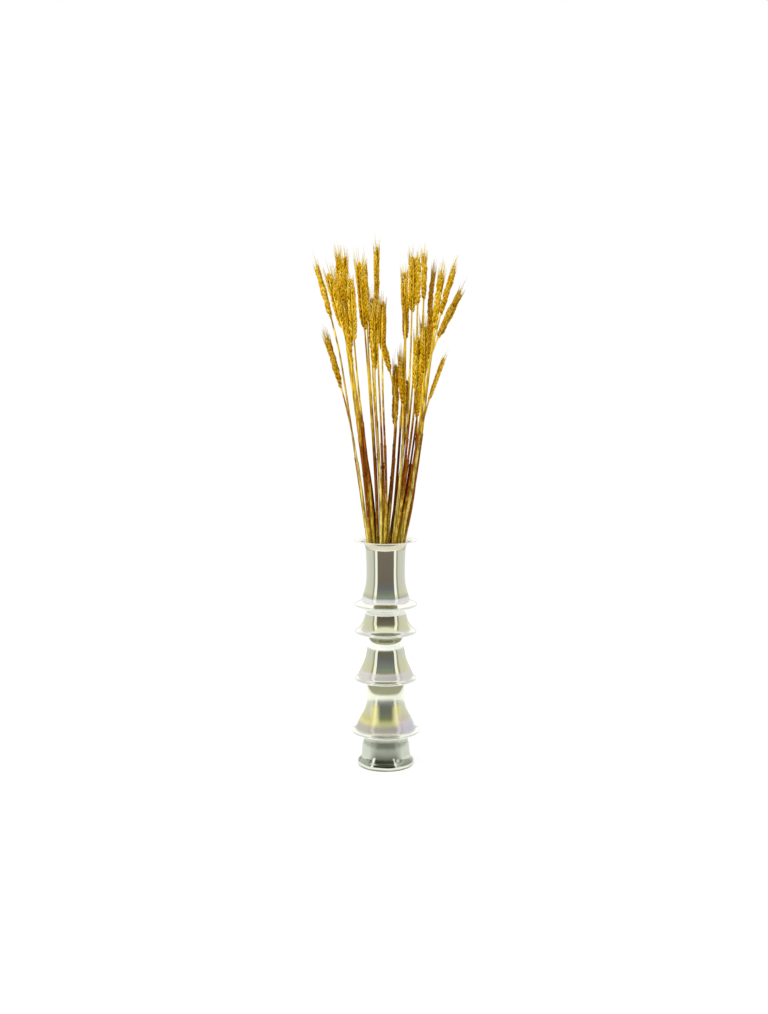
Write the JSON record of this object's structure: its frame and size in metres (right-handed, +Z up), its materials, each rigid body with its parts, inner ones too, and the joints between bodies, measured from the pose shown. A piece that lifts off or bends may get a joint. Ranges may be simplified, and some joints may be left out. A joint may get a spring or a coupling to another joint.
{
  "type": "bunch of dried wheat in a tiered glass vase",
  "caption": "Dried wheat stalks with golden ears fanning out of a tall tiered vase of silvery lustre glass.",
  "frame": {"origin": "centre of the vase's base, on the surface that it stands on", "axes": "+Z up along the vase's axis, -Y towards the front, +X to the right"},
  "size_m": [0.2167, 0.1917, 0.7921],
  "materials": {
    "lustre_glass": "opaque silvered lustre glass, glossy, faint yellow, pink and violet sheen",
    "dry_straw": "dry straw, matt with a slight silky sheen, golden ears and red-brown lower stems"
  },
  "bodies": {
    "root": {"vase": "lustre_glass", "wheat_stalk_01": "dry_straw", "wheat_stalk_02": "dry_straw", "wheat_stalk_03": "dry_straw", "wheat_stalk_04": "dry_straw", "wheat_stalk_05": "dry_straw", "wheat_stalk_06": "dry_straw", "wheat_stalk_07": "dry_straw", "wheat_stalk_08": "dry_straw", "wheat_stalk_09": "dry_straw", "wheat_stalk_10": "dry_straw", "wheat_stalk_11": "dry_straw", "wheat_stalk_12": "dry_straw", "wheat_stalk_13": "dry_straw", "wheat_stalk_14": "dry_straw", "wheat_stalk_15": "dry_straw", "wheat_stalk_16": "dry_straw", "wheat_stalk_17": "dry_straw", "wheat_stalk_18": "dry_straw", "wheat_stalk_19": "dry_straw", "wheat_stalk_20": "dry_straw", "wheat_stalk_21": "dry_straw", "wheat_stalk_22": "dry_straw", "wheat_stalk_23": "dry_straw", "wheat_stalk_24": "dry_straw", "wheat_stalk_25": "dry_straw", "wheat_stalk_26": "dry_straw", "wheat_stalk_27": "dry_straw", "wheat_stalk_28": "dry_straw", "wheat_stalk_29": "dry_straw", "wheat_stalk_30": "dry_straw", "wheat_stalk_31": "dry_straw", "wheat_stalk_32": "dry_straw", "wheat_stalk_33": "dry_straw", "wheat_stalk_34": "dry_straw", "wheat_stalk_35": "dry_straw"}
  },
  "joints": []
}
